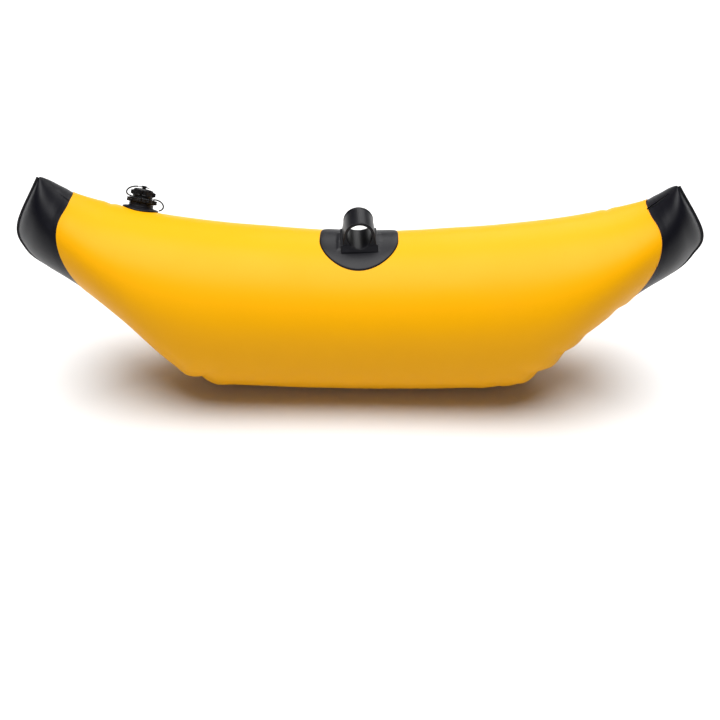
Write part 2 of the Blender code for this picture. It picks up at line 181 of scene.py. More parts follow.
@dataclass(frozen=True)
class Finish:
    """One real material and what the eye sees of it."""

    name: str
    colour: str  # the clean surface
    worn: str  # where it is rubbed or dusty
    roughness: float
    spread: float  # how much the roughness varies either way
    ior: float
    grain: float  # size of the moulding grain or calender texture, in metres
    grain_depth: float  # height of that, in metres
    weave: float = 0.0  # pitch of the woven core that shows through, in metres
    weave_depth: float = 0.0
    specular: float = 0.3  # the share of reflection: matting agents in the plastic lower it
    coat: float = 0.0
    coat_roughness: float = 0.3
    sheen: float = 0.0
    rub: float = 0.25  # how much of the surface shows the worn colour
    edge_wear_and_highlight: float = 0.0  # how far the worn colour shows on sharp edges: partly rubbed wear, partly a painted highlight along edges that catch the light

    def build(self) -> bpy.types.Material:
        """Builds the procedural material.

        Returns:
            The material.
        """
        sheet = NodeSheet(self.name)
        place = sheet.add("TexCoord").outputs["Object"]
        cloudy = sheet.add("TexNoise", Vector=place, Scale=9.0, Detail=5.0, Roughness=0.55).outputs[0]
        streaks = sheet.add("TexNoise", Vector=place, Scale=60.0, Detail=6.0, Roughness=0.7).outputs[0]
        patches = sheet.ramp(cloudy, 0.5 - 0.25, 0.5 + 0.25)
        scuffs = sheet.ramp(streaks, 0.58, 0.74)
        wear_and_edge_highlight = sheet.math("MULTIPLY", scuffs, self.rub)
        # sharp edges take the paler worn colour: partly rubbed wear, partly a painted highlight where edges
        # catch the light
        if self.edge_wear_and_highlight:
            point = sheet.add("NewGeometry").outputs["Pointiness"]
            edges = sheet.math("MULTIPLY", sheet.ramp(point, 0.52, 0.62), self.edge_wear_and_highlight)
            wear_and_edge_highlight = sheet.math("MAXIMUM", wear_and_edge_highlight, edges)
        base = sheet.add(
            "MixRGB",
            {"blend_type": "MIX"},
            Fac=sheet.math("MULTIPLY", patches, 0.22),
            Color1=linear(self.colour),
            Color2=linear(self.worn),
        ).outputs[0]
        mixed = sheet.add("MixRGB", Fac=wear_and_edge_highlight, Color1=base, Color2=linear(self.worn)).outputs[0]
        sheet.feed(sheet.shader, "Base Color", mixed)
        wander = sheet.math("SUBTRACT", cloudy, 0.5)
        rough = sheet.math("MULTIPLY", wander, 4 * self.spread)
        rough = sheet.math("ADD", rough, self.roughness)
        rough = sheet.math("ADD", rough, sheet.math("MULTIPLY", wear_and_edge_highlight, 0.15))
        sheet.feed(sheet.shader, "Roughness", rough)
        sheet.feed(sheet.shader, "Normal", self.relief(sheet, place))
        for key, value in (
            ("IOR", self.ior),
            ("Specular IOR Level", self.specular),
            ("Coat Weight", self.coat),
            ("Coat Roughness", self.coat_roughness),
            ("Sheen Weight", self.sheen),
        ):
            sheet.feed(sheet.shader, key, value)
        return sheet.material

    def relief(self, sheet: NodeSheet, place: bpy.types.NodeSocket) -> bpy.types.NodeSocket:
        """Adds the grain, and the weave where there is one.

        Args:
            sheet: The material's nodes.
            place: The coordinates' socket, in metres.

        Returns:
            The bumped normal's socket.
        """
        fine = sheet.add("TexNoise", Vector=place, Scale=1 / self.grain, Detail=3.0).outputs[0]
        normal = sheet.add("Bump", Strength=1.0, Distance=self.grain_depth, Height=fine).outputs[0]
        if not self.weave:
            return normal
        metres = sheet.add("UVMap", {"uv_map": AirTube.UV_NAME}).outputs[0]
        # a wave texture's bands repeat every 2 pi / 20 of its scaled input
        scale = 2 * math.pi / 20 / self.weave
        threads = [
            sheet.add("TexWave", {"bands_direction": way}, Vector=metres, Scale=scale).outputs["Fac"]
            for way in ("X", "Y")
        ]
        weave = sheet.math("MAXIMUM", threads[0], threads[1])
        bump = sheet.add("Bump", Strength=1.0, Distance=self.weave_depth, Height=weave, Normal=normal)
        return bump.outputs[0]


# PVC-coated polyester: a calendered satin skin, IOR of plasticised PVC. Its woven core has a 1 mm
# pitch, drawn at 2.2 mm because the real one is too fine to show.
YELLOW_PVC = Finish(
    "Yellow_PVC_tarpaulin", "#E4A200", "#DC9800", 0.42, 0.05, 1.53, 0.0011, 0.00003,
    weave=0.0022, weave_depth=0.00003, specular=0.09, rub=0.12,
)  # fmt: skip
# The same sheet dyed black: deeper, so that soft highlights carry all of its shape
BLACK_PVC = Finish(
    "Black_PVC_tarpaulin", "#08080E", "#15151F", 0.40, 0.05, 1.53, 0.0011, 0.00004,
    weave=0.0022, weave_depth=0.00003, specular=0.15, rub=0.3,
)  # fmt: skip
# Painted highlight: a pale yellow on the yellow sheet's turned-in edge paints the thin light rim where that
# edge catches the light
EDGE_HIGHLIGHT_PAINT = Finish("Painted_edge_highlight", "#F4C768", "#E0A030", 0.6, 0.05, 1.50, 0.0006, 0.00004)
# Injection-moulded flexible PVC: matt grain that scatters light, paler on sharp edges, partly as rubbed
# wear and partly as a painted highlight
MOULDED_PVC = Finish(
    "Moulded_black_PVC", "#08080C", "#24242C", 0.40, 0.06, 1.52, 0.0008, 0.00005,
    specular=0.17, rub=0.25, edge_wear_and_highlight=0.3,
)  # fmt: skip
# Hard moulded nylon and PVC of the valve: darker and a little tighter in its highlights; its sharp edges
# are painted paler, partly as rubbed wear and partly as a painted highlight
VALVE_PLASTIC = Finish(
    "Black_valve_plastic", "#060608", "#1E1E22", 0.34, 0.06, 1.53, 0.0006, 0.00003,
    specular=0.22, rub=0.2, edge_wear_and_highlight=0.3,
)  # fmt: skip
# Soft seal rubber: no clear highlight
SEAL_RUBBER = Finish("Seal_rubber", "#1A1A1A", "#2C2C2C", 0.72, 0.05, 1.52, 0.0005, 0.00004, sheen=0.1)
# Matt white studio paper
PAPER = Finish("Studio_paper", "#DEDEDE", "#DADADA", 0.9, 0.02, 1.45, 0.002, 0.00001, rub=0.02)


class Paints:
    """The built materials, one for each finish."""

    def __init__(self) -> None:
        """Starts with none built."""
        self.built: dict[str, bpy.types.Material] = {}

    def get(self, finish: Finish) -> bpy.types.Material:
        """Builds a finish's material once.

        Args:
            finish: The finish.

        Returns:
            Its material.
        """
        if finish.name not in self.built:
            self.built[finish.name] = finish.build()
        return self.built[finish.name]


# ---------------------------------------------------------------- the air tube's surface


@dataclass(frozen=True)
class Station:
    """One section of the air tube, in millimetres: its top fold, its seam and its half width."""

    top_x: float
    top_z: float
    seam_x: float
    seam_z: float
    half_width: float
    sharp: float  # 0 is a round section, more is drawn in towards the seam


@dataclass(frozen=True)
class HullSize:
    """The air tube's driving dimensions, the same as the CAD model's."""

    stations: tuple[Station, ...] = (
        Station(0, 224, 0, 0, 112, 0.0),
        Station(130, 231, 130, 3, 114, 0.0),
        Station(215, 239, 215, 10, 114.5, 0.0),
        Station(290, 251, 255, 31, 107, 0.05),
        Station(345, 264.5, 318, 95, 88, 0.12),
        Station(385, 281.5, 383, 150, 66, 0.2),
        Station(403, 296, 433, 183, 52, 0.25),
        Station(415, 308, 454.5, 209, 38, 0.3),
        Station(421, 314.5, 461, 245, 22, 0.3),
        Station(424, 318, 424, 318, 0, 0.3),
    )
    left_nose: tuple[Station, ...] = (
        Station(385, 281.5, 386, 150, 66, 0.2),
        Station(403, 296, 438, 184.5, 52, 0.25),
        Station(415, 308, 460.5, 209, 38, 0.3),
        Station(421, 314.5, 465, 246, 22, 0.3),
        Station(425, 318.5, 425, 318.5, 0, 0.3),
    )
    right_nose: tuple[Station, ...] = (
        Station(384, 280, 382, 148, 66, 0.2),
        Station(400, 293.5, 432, 182, 52, 0.25),
        Station(410, 305, 453.5, 209.5, 38, 0.3),
        Station(415, 311, 461, 244, 22, 0.3),
        Station(417.5, 314, 417.5, 314, 0, 0.3),
    )
    left_pull: tuple[float, float] = (0.11, 0.3)  # how far its edge is in at the top and at the keel
    right_pull: tuple[float, float] = (0.28, 0.48)
    sheet: float = 0.9 * MM
    lip_width: float = 3 * MM
    lip_half: float = 0.9 * MM
    tip_edge: float = 4.93  # where the yellow sheet ends at the top and the keel, in stations
    tip_bulge: float = 0.58  # how much further out its edge runs on the sides
    tip_skew: float = 1.9  # how much nearer to the top than to the keel that is
    cut_edge: float = 0.9985  # share of the way to its edge where its cut face turns in
    lap: float = 0.03  # share of that which a black end covers under the yellow sheet
    tip_end: float = 8.97  # the last section before the corner


class HullSurface:
    """The smooth shape of the inflated tube, by station number and by angle from the top."""

    def __init__(self, size: HullSize) -> None:
        """Reads the stations.

        Args:
            size: The tube's dimensions.
        """
        self.size = size
        self.last = len(size.stations) - 1
        shared = size.stations[: -len(size.left_nose)]
        self.tables = [self.rows([*shared, *nose]) for nose in (size.left_nose, size.right_nose)]

    @staticmethod
    def rows(stations: Sequence[Station]) -> np.ndarray:
        """The stations of one half as numbers, with one more beyond each end.

        Args:
            stations: The half's stations, from the middle.

        Returns:
            One row for each.
        """
        table = np.array(
            [(s.top_x, s.top_z, s.seam_x, s.seam_z, s.half_width, s.sharp) for s in stations], float
        )
        mirrored = table[1] * np.array([-1, 1, -1, 1, 1, 1])
        return np.vstack([mirrored, table, 2 * table[-1] - table[-2]])

    def lines_at(self, u: np.ndarray) -> tuple[np.ndarray, ...]:
        """Smooth lines through the stations.

        Args:
            u: Station numbers, negative to the left.

        Returns:
            Top x and z, seam x and z, half width (all in metres) and sharpness.
        """
        side = np.where(u < 0, -1.0, 1.0)
        u = np.clip(np.abs(u), 0, self.last)
        i = np.minimum(u.astype(int), self.last - 1)
        t = (u - i)[..., None]
        left = (side < 0)[..., None]
        before, here, after, beyond = (
            np.where(left, self.tables[0][i + k], self.tables[1][i + k]) for k in range(4)
        )
        values = (
            here * (1 + 2 * t) * (1 - t) ** 2
            + (after - before) / 2 * t * (1 - t) ** 2
            + after * t**2 * (3 - 2 * t)
            - (beyond - here) / 2 * t**2 * (1 - t)
        )
        top_x, top_z, seam_x, seam_z, width, sharp = np.moveaxis(values, -1, 0)
        lift = self.size.lip_width
        return (
            side * top_x * MM,
            top_z * MM + lift,
            side * seam_x * MM,
            seam_z * MM + lift,
            np.maximum(width, 0) * MM,
            np.maximum(sharp, 0),
        )

    @staticmethod
    def width_shape(angle: np.ndarray, sharp: np.ndarray | float) -> np.ndarray:
        """Half width against the angle from the top, with a peak of 1.

        Args:
            angle: Angles from 0 at the top to pi at the seam.
            sharp: How far the section is drawn in towards the seam.

        Returns:
            The share of the half width.
        """
        peak = 2 * np.arcsin(np.sqrt(1 / (2 + 2 * sharp)))
        highest = np.sin(peak) * np.cos(peak / 2) ** (2 * sharp)
        return np.sin(angle) * np.cos(angle / 2) ** (2 * sharp) / highest

    def points(self, u: np.ndarray, angle: np.ndarray, inset: float = 0.0) -> np.ndarray:
        """Points of the skin.

        Args:
            u: Station numbers.
            angle: Angles from the top, up to pi on the +Y side and beyond it on the -Y side.
            inset: How far inside the outer face they are, in metres.

        Returns:
            An array of points in metres.
        """
        top_x, top_z, seam_x, seam_z, width, sharp = self.lines_at(u)
        length = np.maximum(np.hypot(seam_x - top_x, seam_z - top_z), 1e-6)
        turn = np.where(angle > np.pi, 2 * np.pi - angle, angle)
        side = np.where(angle > np.pi, -1.0, 1.0)
        low, high = np.clip(turn - 1e-4, 0, np.pi), np.clip(turn + 1e-4, 0, np.pi)
        run_along = length * (np.cos(low) - np.cos(high)) / 2
        run_out = width * (self.width_shape(high, sharp) - self.width_shape(low, sharp))
        run = np.maximum(np.hypot(run_along, run_out), 1e-12)
        share = (1 - np.cos(turn)) / 2 + inset * run_out / run / length
        out = width * self.width_shape(turn, sharp)
        out = np.maximum(out - inset * run_along / run, 0.25 * out)
        x = top_x + (seam_x - top_x) * share
        z = top_z + (seam_z - top_z) * share
        return np.stack([x, side * out, z], -1)

    def seam_outward(self, u: np.ndarray) -> np.ndarray:
        """Directions out of the seam, in the mid plane.

        Args:
            u: Station numbers.

        Returns:
            Unit vectors.
        """
        step = 0.02
        before, after = self.lines_at(u - step), self.lines_at(u + step)
        run = np.stack([after[2] - before[2], 0 * u, after[3] - before[3]], -1)
        run /= np.linalg.norm(run, axis=-1, keepdims=True)
        return np.stack([run[..., 2], 0 * u, -run[..., 0]], -1)

    def edge_u(self, row: np.ndarray | float, angle: np.ndarray) -> np.ndarray:
        """Where a row of the yellow sheet runs.

        Args:
            row: -1 at the sheet's left edge to 1 at its right edge.
            angle: Angles from the top.

        Returns:
            Station numbers.
        """
        turn = np.where(angle > np.pi, 2 * np.pi - angle, angle)
        top, keel = self.size.left_pull if row < 0 else self.size.right_pull
        pull = top * np.cos(turn / 2) ** 12 + keel * np.sin(turn / 2) ** 8
        # the edge runs smoothly over the top fold
        bulge = np.hypot(self.width_shape(turn, self.size.tip_skew), 0.6 * np.cos(turn / 2) ** 40)
        return row * (self.size.tip_edge + self.size.tip_bulge * bulge - pull)


# ---------------------------------------------------------------- creases in the skin


@dataclass(frozen=True)
class Crease:
    """One crease that starts at a point of the skin and dies away along its length."""

    u: float  # station number of its start
    degrees: float  # angle of its start from the top, over 180 on the -Y side
    turn: float  # heading in degrees: 0 points along +X, 90 round the section to +Y, 270 to -Y
    length: float  # in millimetres
    width: float
    depth: float


@dataclass(frozen=True)
class CreaseSet:
    """The skin's creases: pinches along the curved keel seam and small folds by the ends."""

    creases: tuple[Crease, ...] = (
        Crease(1.78, 180, 270, 120, 12, 4.0),
        Crease(2.5, 180, 270, 120, 11, 5.0),
        Crease(3.22, 180, 270, 125, 13, 15.0),
        Crease(3.75, 180, 270, 120, 12, 14.0),
        Crease(4.1, 180, 270, 110, 12, 6.0),
        Crease(4.72, 180, 270, 80, 8, 8.0),
        Crease(-2.5, 180, 270, 130, 13, 15.0),
        Crease(-2.95, 180, 262, 50, 8, 1.6),
        Crease(-4.05, 180, 270, 30, 10, 1.0),
        Crease(-4.2, 40, 82, 45, 5, 1.6),
        Crease(4.05, 40, 98, 45, 5, 1.9),
    )
    seed: int = 7
    random_count: int = 14  # faint extra pinches along the curved seam

    def all(self) -> list[Crease]:
        """Lists the placed creases and the seeded faint ones.

        Returns:
            Every crease.
        """
        rng = np.random.default_rng(self.seed)
        extra = []
        for _ in range(self.random_count):
            u = rng.choice([-1, 1]) * rng.uniform(2.2, 4.8)
            heading = 270 + rng.uniform(-12, 12)
            length, width, depth = rng.uniform(30, 70), rng.uniform(5, 9), rng.uniform(0.3, 0.9)
            extra.append(Crease(u, 180, heading, length, width, depth))
        return [*self.creases, *extra]


class Relief:
    """How far the creases and the sheet's unevenness move a point of the skin."""

    def __init__(self, surface: HullSurface, creases: CreaseSet) -> None:
        """Places the creases on the surface.

        Args:
            surface: The smooth tube.
            creases: The creases.
        """
        self.placed = []
        for crease in creases.all():
            angle = np.array([math.radians(crease.degrees)])
            u = np.array([crease.u])
            start = surface.points(u, angle)[0]
            along = surface.points(u + 0.05, angle)[0] - surface.points(u - 0.05, angle)[0]
            along /= np.linalg.norm(along)
            heading = math.radians(crease.turn)
            side = np.array([0.0, 1.0, 0.0])
            across = along * math.sin(heading) - side * math.cos(heading)
            self.placed.append((crease, start, across))

    def at(self, points: np.ndarray) -> np.ndarray:
        """How far points move outwards.

        Args:
            points: Points of the skin, in metres.

        Returns:
            Distances in metres, negative inwards.
        """
        moved = np.zeros(len(points))
        for crease, start, across in self.placed:
            away = points - start
            sideways = away @ across
            far = np.linalg.norm(away - sideways[:, None] * across, axis=1) / (crease.length * MM)
            depth = np.clip(1.15 - far, 0, 1) ** 1.2
            share = np.abs(sideways) / (crease.width * MM)
            # a sharp valley between two rounded shoulders
            profile = np.exp(-1.6 * share) - 0.35 * np.exp(-((share - 1.9) ** 2))
            moved -= crease.depth * MM * depth * profile
        x, y, z = (points * 2 * np.pi).T
        moved += 0.25 * MM * np.sin(3.1 * x + 2.2 * z + 1) * np.sin(4.3 * y - 1.7 * z + 2)
        moved += 0.12 * MM * np.sin(11 * x + 5 * y) * np.sin(9 * z - 7 * y + 0.5)
        return moved


# ---------------------------------------------------------------- mesh helpers


def grid_faces(rings: int, size: int, closed: bool = True, start: int = 0) -> list[tuple[int, ...]]:
    """Quads between rings of points.

    Args:
        rings: How many rings there are.
        size: Points in each.
        closed: Whether the last point of a ring joins its first.
        start: Number of the first point.

    Returns:
        The faces.
    """
    faces = []
    for i in range(rings - 1):
        for j in range(size if closed else size - 1):
            k = (j + 1) % size
            a, b = start + i * size, start + (i + 1) * size
            faces.append((a + j, a + k, b + k, b + j))
    return faces


def make_mesh(
    name: str,
    points: Sequence,
    faces: list[tuple[int, ...]],
    *materials: bpy.types.Material,
    sharp: float = 40.0,
) -> bpy.types.Object:
    """Makes a smooth-shaded mesh object with its faces outwards.

    Args:
        name: The piece's name.
        points: Its points in metres.
        faces: Its faces.
        *materials: Its materials.
        sharp: Edges over this angle in degrees stay sharp.

    Returns:
        The object.
    """
    mesh = bpy.data.meshes.new(name)
    mesh.from_pydata([tuple(map(float, p)) for p in points], [], faces)
    for material in materials:
        mesh.materials.append(material)
    work = bmesh.new()
    work.from_mesh(mesh)
    bmesh.ops.recalc_face_normals(work, faces=work.faces)
    work.to_mesh(mesh)
    work.free()
    mesh.shade_smooth()
    mesh.set_sharp_from_angle(angle=math.radians(sharp))
    made = bpy.data.objects.new(name, mesh)
    bpy.context.scene.collection.objects.link(made)
    return made


def settle(piece: bpy.types.Object) -> bpy.types.Object:
    """Applies a piece's modifiers to its mesh.

    Args:
        piece: The piece.

    Returns:
        The same piece.
    """
    bpy.context.view_layer.update()
    graph = bpy.context.evaluated_depsgraph_get()
    mesh = bpy.data.meshes.new_from_object(piece.evaluated_get(graph))
    piece.modifiers.clear()
    old, piece.data = piece.data, mesh
    mesh.name = piece.name
    bpy.data.meshes.remove(old)
    return piece


def attach(piece: bpy.types.Object, body: Body, slot: Slot, *nodes: str) -> bpy.types.Object:
    """Lets a piece ride on a body and stand for CAD nodes.

    Args:
        piece: The piece.
        body: The body it rides on.
        slot: The record's material slot; not used.
        *nodes: The CAD nodes it replaces.

    Returns:
        The same piece.
    """
    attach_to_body(piece, body.value)
    if nodes:
        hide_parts(*nodes)
    LOG.info("%s rides on %s", piece.name, body.value)
    return piece


def rounded(
    corners: Sequence[tuple[float, float]], radius: float, steps: int = 4
) -> list[tuple[float, float]]:
    """Rounds the corners of an open outline.

    Args:
        corners: The outline's corners.
        radius: How far from each corner the rounding starts, at most.
        steps: Points on each rounding.

    Returns:
        The rounded outline.
    """
    out = [corners[0]]
    for before, here, after in zip(corners, corners[1:], corners[2:]):
        a, b, c = Vector(before), Vector(here), Vector(after)
        reach = min(radius, (a - b).length * 0.45, (c - b).length * 0.45)
        start, end = b + (a - b).normalized() * reach, b + (c - b).normalized() * reach
        for i in range(steps + 1):
            t = i / steps
            point = start * (1 - t) ** 2 + b * 2 * t * (1 - t) + end * t**2
            out.append(tuple(point))
    out.append(corners[-1])
    return out


# ---------------------------------------------------------------- the air tube


class AirTube:
    """The yellow sheet and the two black ends, with their weld lips."""

    UV_NAME = "fabric_metres"

    def __init__(self, size: HullSize, creases: CreaseSet, paints: Paints) -> None:
        """Sets up the surface.

        Args:
            size: The tube's dimensions.
            creases: Its creases.
            paints: The materials.
        """
        self.size = size
        self.surface = HullSurface(size)
        self.relief = Relief(self.surface, creases)
        self.paints = paints
        self.around = 72  # points from the top to the seam

    def ring(self, edge: Callable[[np.ndarray], np.ndarray], inset: float, lip: bool) -> np.ndarray:
        """One ring of the skin, from the top down the +Y side, round the lip and up the -Y side.

        Args:
            edge: Gives the station number at an angle.
            inset: How far inside the yellow sheet's outer face it is.
            lip: Whether the weld lip stands out here.

        Returns:
            The ring's points.
        """
        turn = np.linspace(0, np.pi, self.around + 1)[:-1]
        smooth = self.surface.points(edge(turn), turn, inset)
        seam_u = edge(np.array([np.pi]))
        seam = self.surface.points(seam_u, np.array([np.pi]), inset)[0]
        out = self.surface.seam_outward(seam_u)[0]
        half = min(self.size.lip_half, 0.6 * smooth[-1][1])
        reach = self.size.lip_width + inset if lip else -0.1 * MM
        low, high = seam - out * (0.3 * MM), seam + out * reach
        y = np.array([0, half, 0])
        lip_points = np.array([low + y, high + 0.8 * y, high + 0.15 * MM * out, high - 0.8 * y, low - y])
        far = smooth[:0:-1] * (1, -1, 1)
        ring = np.vstack([smooth, lip_points, far])
        return self.creased(ring, seam, out)

    def creased(self, ring: np.ndarray, seam: np.ndarray, out: np.ndarray) -> np.ndarray:
        """Moves a ring's points by the creases.

        Args:
            ring: The ring's points.
            seam: Its point on the seam.
            out: The direction out of the seam.

        Returns:
            The moved points.
        """
        middle = self.around
        lip = slice(middle, middle + 5)
        centre = (ring[0] + seam) / 2
        outward = ring - centre
        outward /= np.maximum(np.linalg.norm(outward, axis=1, keepdims=True), 1e-9)
        moved = self.relief.at(ring)
        room = np.minimum(1, np.linalg.norm(ring - centre, axis=1) / (12 * MM))
        seam_moved = self.relief.at(seam[None])[0] * room[middle]
        result = ring + outward * (moved * room)[:, None]
        result[lip] = ring[lip] + out * seam_moved
        # points by the lip follow it, so that the skin meets it
        for step, share in ((1, 0.6), (2, 0.3)):
            for j in (middle - step, middle + 4 + step):
                result[j] = (1 - share) * result[j] + share * (ring[j] + out * seam_moved)
        return result

    def skin(
        self, name: str, rings: list[np.ndarray], finish: Finish, lip_finish: Finish, close_end: bool
    ) -> bpy.types.Object:
        """Makes a skin from its rings, with lengths in metres as texture coordinates.

        Args:
            name: The piece's name.
            rings: Its rings in order.
            finish: Its finish.
            lip_finish: The finish of its turned-in cut edge; on the yellow sheet it is a pale painted
                highlight.
            close_end: Whether to close the last ring.

        Returns:
            The piece.
        """
        size = len(rings[0])
        faces = grid_faces(len(rings), size)
        last = (len(rings) - 1) * size
        if close_end:
            faces.append((last, last + 1, last + size - 1))
            for j in range(1, size // 2):
                faces.append((last + j, last + j + 1, last + size - j - 1, last + size - j))
        paints = (self.paints.get(finish), self.paints.get(lip_finish))
        piece = make_mesh(name, np.vstack(rings), faces, *paints, sharp=60)
        stack = np.array(rings)
        gaps = np.linalg.norm(np.diff(stack[:, size // 4], axis=0), axis=1)
        along = np.concatenate([[0], np.cumsum(gaps)])
        steps = np.linalg.norm(np.diff(stack, axis=1, append=stack[:, :1]), axis=2)
        girth = np.concatenate([np.zeros((len(rings), 1)), np.cumsum(steps, axis=1)[:, :-1]], axis=1)
        layer = piece.data.uv_layers.new(name=self.UV_NAME)
        numbers = np.zeros(len(piece.data.loops), int)
        piece.data.loops.foreach_get("vertex_index", numbers)
        uv = np.stack([along[numbers // size], girth[numbers // size, numbers % size]], -1)
        layer.data.foreach_set("uv", uv.ravel())
        return piece

    def yellow(self) -> bpy.types.Object:
        """The yellow sheet, open at both ends, with its cut edge turned in.

        Returns:
            The piece.
        """
        rows = np.linspace(-1, 1, 341)

        def at_row(row: float) -> Callable[[np.ndarray], np.ndarray]:
            return lambda turn: self.surface.edge_u(row, turn)

        rings = [self.ring(at_row(row), 0.0, True) for row in rows]
        for end, rings_at in ((-1, 0), (1, len(rings))):
            cut = self.ring(at_row(end * self.size.cut_edge), self.size.sheet, False)
            rings.insert(rings_at, cut)
        piece = self.skin("yellow_tube_sheet", rings, YELLOW_PVC, EDGE_HIGHLIGHT_PAINT, False)
        last = len(rings) - 1
        # the turned-in edge faces take the pale painted highlight
        for face in piece.data.polygons:
            rows_met = [number // len(rings[0]) for number in face.vertices]
            if min(rows_met) == 0 or max(rows_met) == last:
                face.material_index = 1
        return attach(piece, Body.FLOAT, Slot.YELLOW, "hull_skin")

    def tip(self, side: Side) -> bpy.types.Object:
        """A black end with its nose lip, from under the yellow edge to its corner.

        Args:
            side: Which end.

        Returns:
            The piece.
        """
        sign, size = float(side.value), self.size
        inset = size.sheet + 0.25 * MM
        rings = []
        rows = np.concatenate([np.linspace(-1, 0, 16)[:-1], np.linspace(0, 1, 90) ** 0.9])
        for row in rows:

            def edge(turn: np.ndarray, row: float = row) -> np.ndarray:
                yellow = self.surface.edge_u(sign, turn)
                if row < 0:
                    return yellow * (1 + row * size.lap)
                return yellow + row * (sign * size.tip_end - yellow)

            # the black sheet comes up to the yellow one's level beyond its edge
            level = inset * (1 - min(max(row * 8, 0), 0.75))
            rings.append(self.ring(edge, level, row > 0.005))
        name = "left_end_sheet" if side is Side.LEFT else "right_end_sheet"
        piece = self.skin(name, rings, BLACK_PVC, BLACK_PVC, True)
        node = "left_tip_skin" if side is Side.LEFT else "right_tip_skin"
        return attach(piece, Body.FLOAT, Slot.BLACK, node)

    def build(self) -> BVHTree:
        """Builds the three sheets.

        Returns:
            The yellow sheet's surface, for laying other pieces on it.
        """
        yellow = self.yellow()
        self.tip(Side.LEFT)
        self.tip(Side.RIGHT)
        mesh = yellow.data
        return BVHTree.FromPolygons([v.co for v in mesh.vertices], [p.vertices for p in mesh.polygons])


# ---------------------------------------------------------------- laid and turned pieces


class Ground:
    """The skin as something to stand pieces on."""

    def __init__(self, tree: BVHTree) -> None:
        """Keeps the surface.

        Args:
            tree: The skin's faces.
        """
        self.tree = tree

    def height(self, place: Matrix, x: float, y: float) -> float:
        """How far the skin is over the plane of a place.

        Args:
            place: The place.
            x: Where in its plane.
            y: Where in its plane.

        Returns:
            The height in metres.
        """
        start = place @ Vector((x, y, 0.05))
        down = -(place.to_3x3() @ Vector((0, 0, 1)))
        hit = self.tree.ray_cast(start, down, 0.2)[0]
        return (place.inverted() @ hit).z

    def disc(
        self,
        name: str,
        place: Matrix,
        outline: Sequence[tuple[float, float]],
        material: bpy.types.Material,
        shape: Callable[[float, float, float], float] | None = None,
        reach: Callable[[float], float] = lambda turn: 1.0,
        steps: int = 144,
    ) -> bpy.types.Object:
        """A disc draped on the skin.

        Args:
            name: The piece's name.
            place: Its centre and its axes.
            outline: Radius and height over the skin, from the middle to the outer edge's foot.
            material: Its material.
            shape: Height to add at x, y and a radius.
            reach: The share of the radius at an angle.
            steps: Points round it.

        Returns:
            The piece, still at the origin of its place.
        """
        points = []
        for radius, rise in outline:
            for j in range(steps):
                turn = 2 * math.pi * j / steps
                far = radius * reach(turn)
                x, y = far * math.cos(turn), far * math.sin(turn)
                extra = shape(x, y, radius) if shape else 0.0
                points.append((x, y, self.height(place, x, y) + rise + extra))
        faces = grid_faces(len(outline), steps)
        faces.append(tuple(range(steps)))
        last = (len(outline) - 1) * steps
        faces.append(tuple(range(last + steps - 1, last - 1, -1)))
        piece = make_mesh(name, points, faces, material)
        piece.matrix_world = place
        return piece


def turned(
    name: str,
    outline: Sequence[tuple[float, float]],
    place: Matrix,
    material: bpy.types.Material,
    shape: Callable[[float, float, float], float] | None = None,
    steps: int = 192,
    closed: bool = True,
) -> bpy.types.Object:
    """A turned piece.

    Args:
        name: Its name.
        outline: Radius and height pairs in metres.
        place: Its axis and origin.
        material: Its material.
        shape: Radius to add at an angle, a radius and a height.
        steps: Points round it.
        closed: Whether the outline joins up with its start.

    Returns:
        The piece.
    """
    points = []
    for radius, z in outline:
        for j in range(steps):
            turn = 2 * math.pi * j / steps
            r = max(radius + (shape(turn, radius, z) if shape else 0.0), 1e-5)
            points.append((r * math.cos(turn), r * math.sin(turn), z))
    faces = grid_faces(len(outline), steps)
    last = (len(outline) - 1) * steps
    if closed:
        faces += [(last + j, last + (j + 1) % steps, (j + 1) % steps, j) for j in range(steps)]
    else:
        faces.append(tuple(range(steps - 1, -1, -1)))
        faces.append(tuple(range(last, last + steps)))
    piece = make_mesh(name, points, faces, material)
    piece.matrix_world = place
    return piece


def lugs(turn: float, count: int, share: float, soft: float = 1.6) -> float:
    """How far round raised lugs a point is.

    Args:
        turn: The angle in radians.
        count: How many lugs there are.
        share: The share of its pitch that a lug takes.
        soft: How steep its sides are.

    Returns:
        1 on a lug, 0 between them.
    """
    phase = (turn * count / (2 * math.pi)) % 1.0
    away = min(phase, 1 - phase) / (share / 2)
    level = min(1.0, max(0.0, 2.0 - soft * away))
    return level * level * (3 - 2 * level)


# ---------------------------------------------------------------- the arm socket


@dataclass(frozen=True)
class SocketSize:
    """The moulded socket's dimensions in metres, the same as the CAD model's."""

    bore_r: float = 16.9 * MM
    tube_r: float = 20 * MM
    length: float = 46 * MM
    rise: float = 20.5 * MM
    flange_thick: float = 1.8 * MM
    foot_half: float = 26.5 * MM
    toe_reach: float = 29 * MM
    toe_edge: float = 1.5 * MM
    toe_height: float = 9 * MM
    far_square: float = 5.0  # power of the flange's far outline, where 2 would be round
    pad_half: float = 29 * MM  # the raised pad under the block, across the arm
    pad_rise: float = 0.9 * MM
    voxel: float = 0.55 * MM  # the size that the moulding's edges are rounded at
    turn: float = 3.5  # degrees that the socket was welded on askew
    shift: float = -1.5 * MM  # how far off the middle it was welded


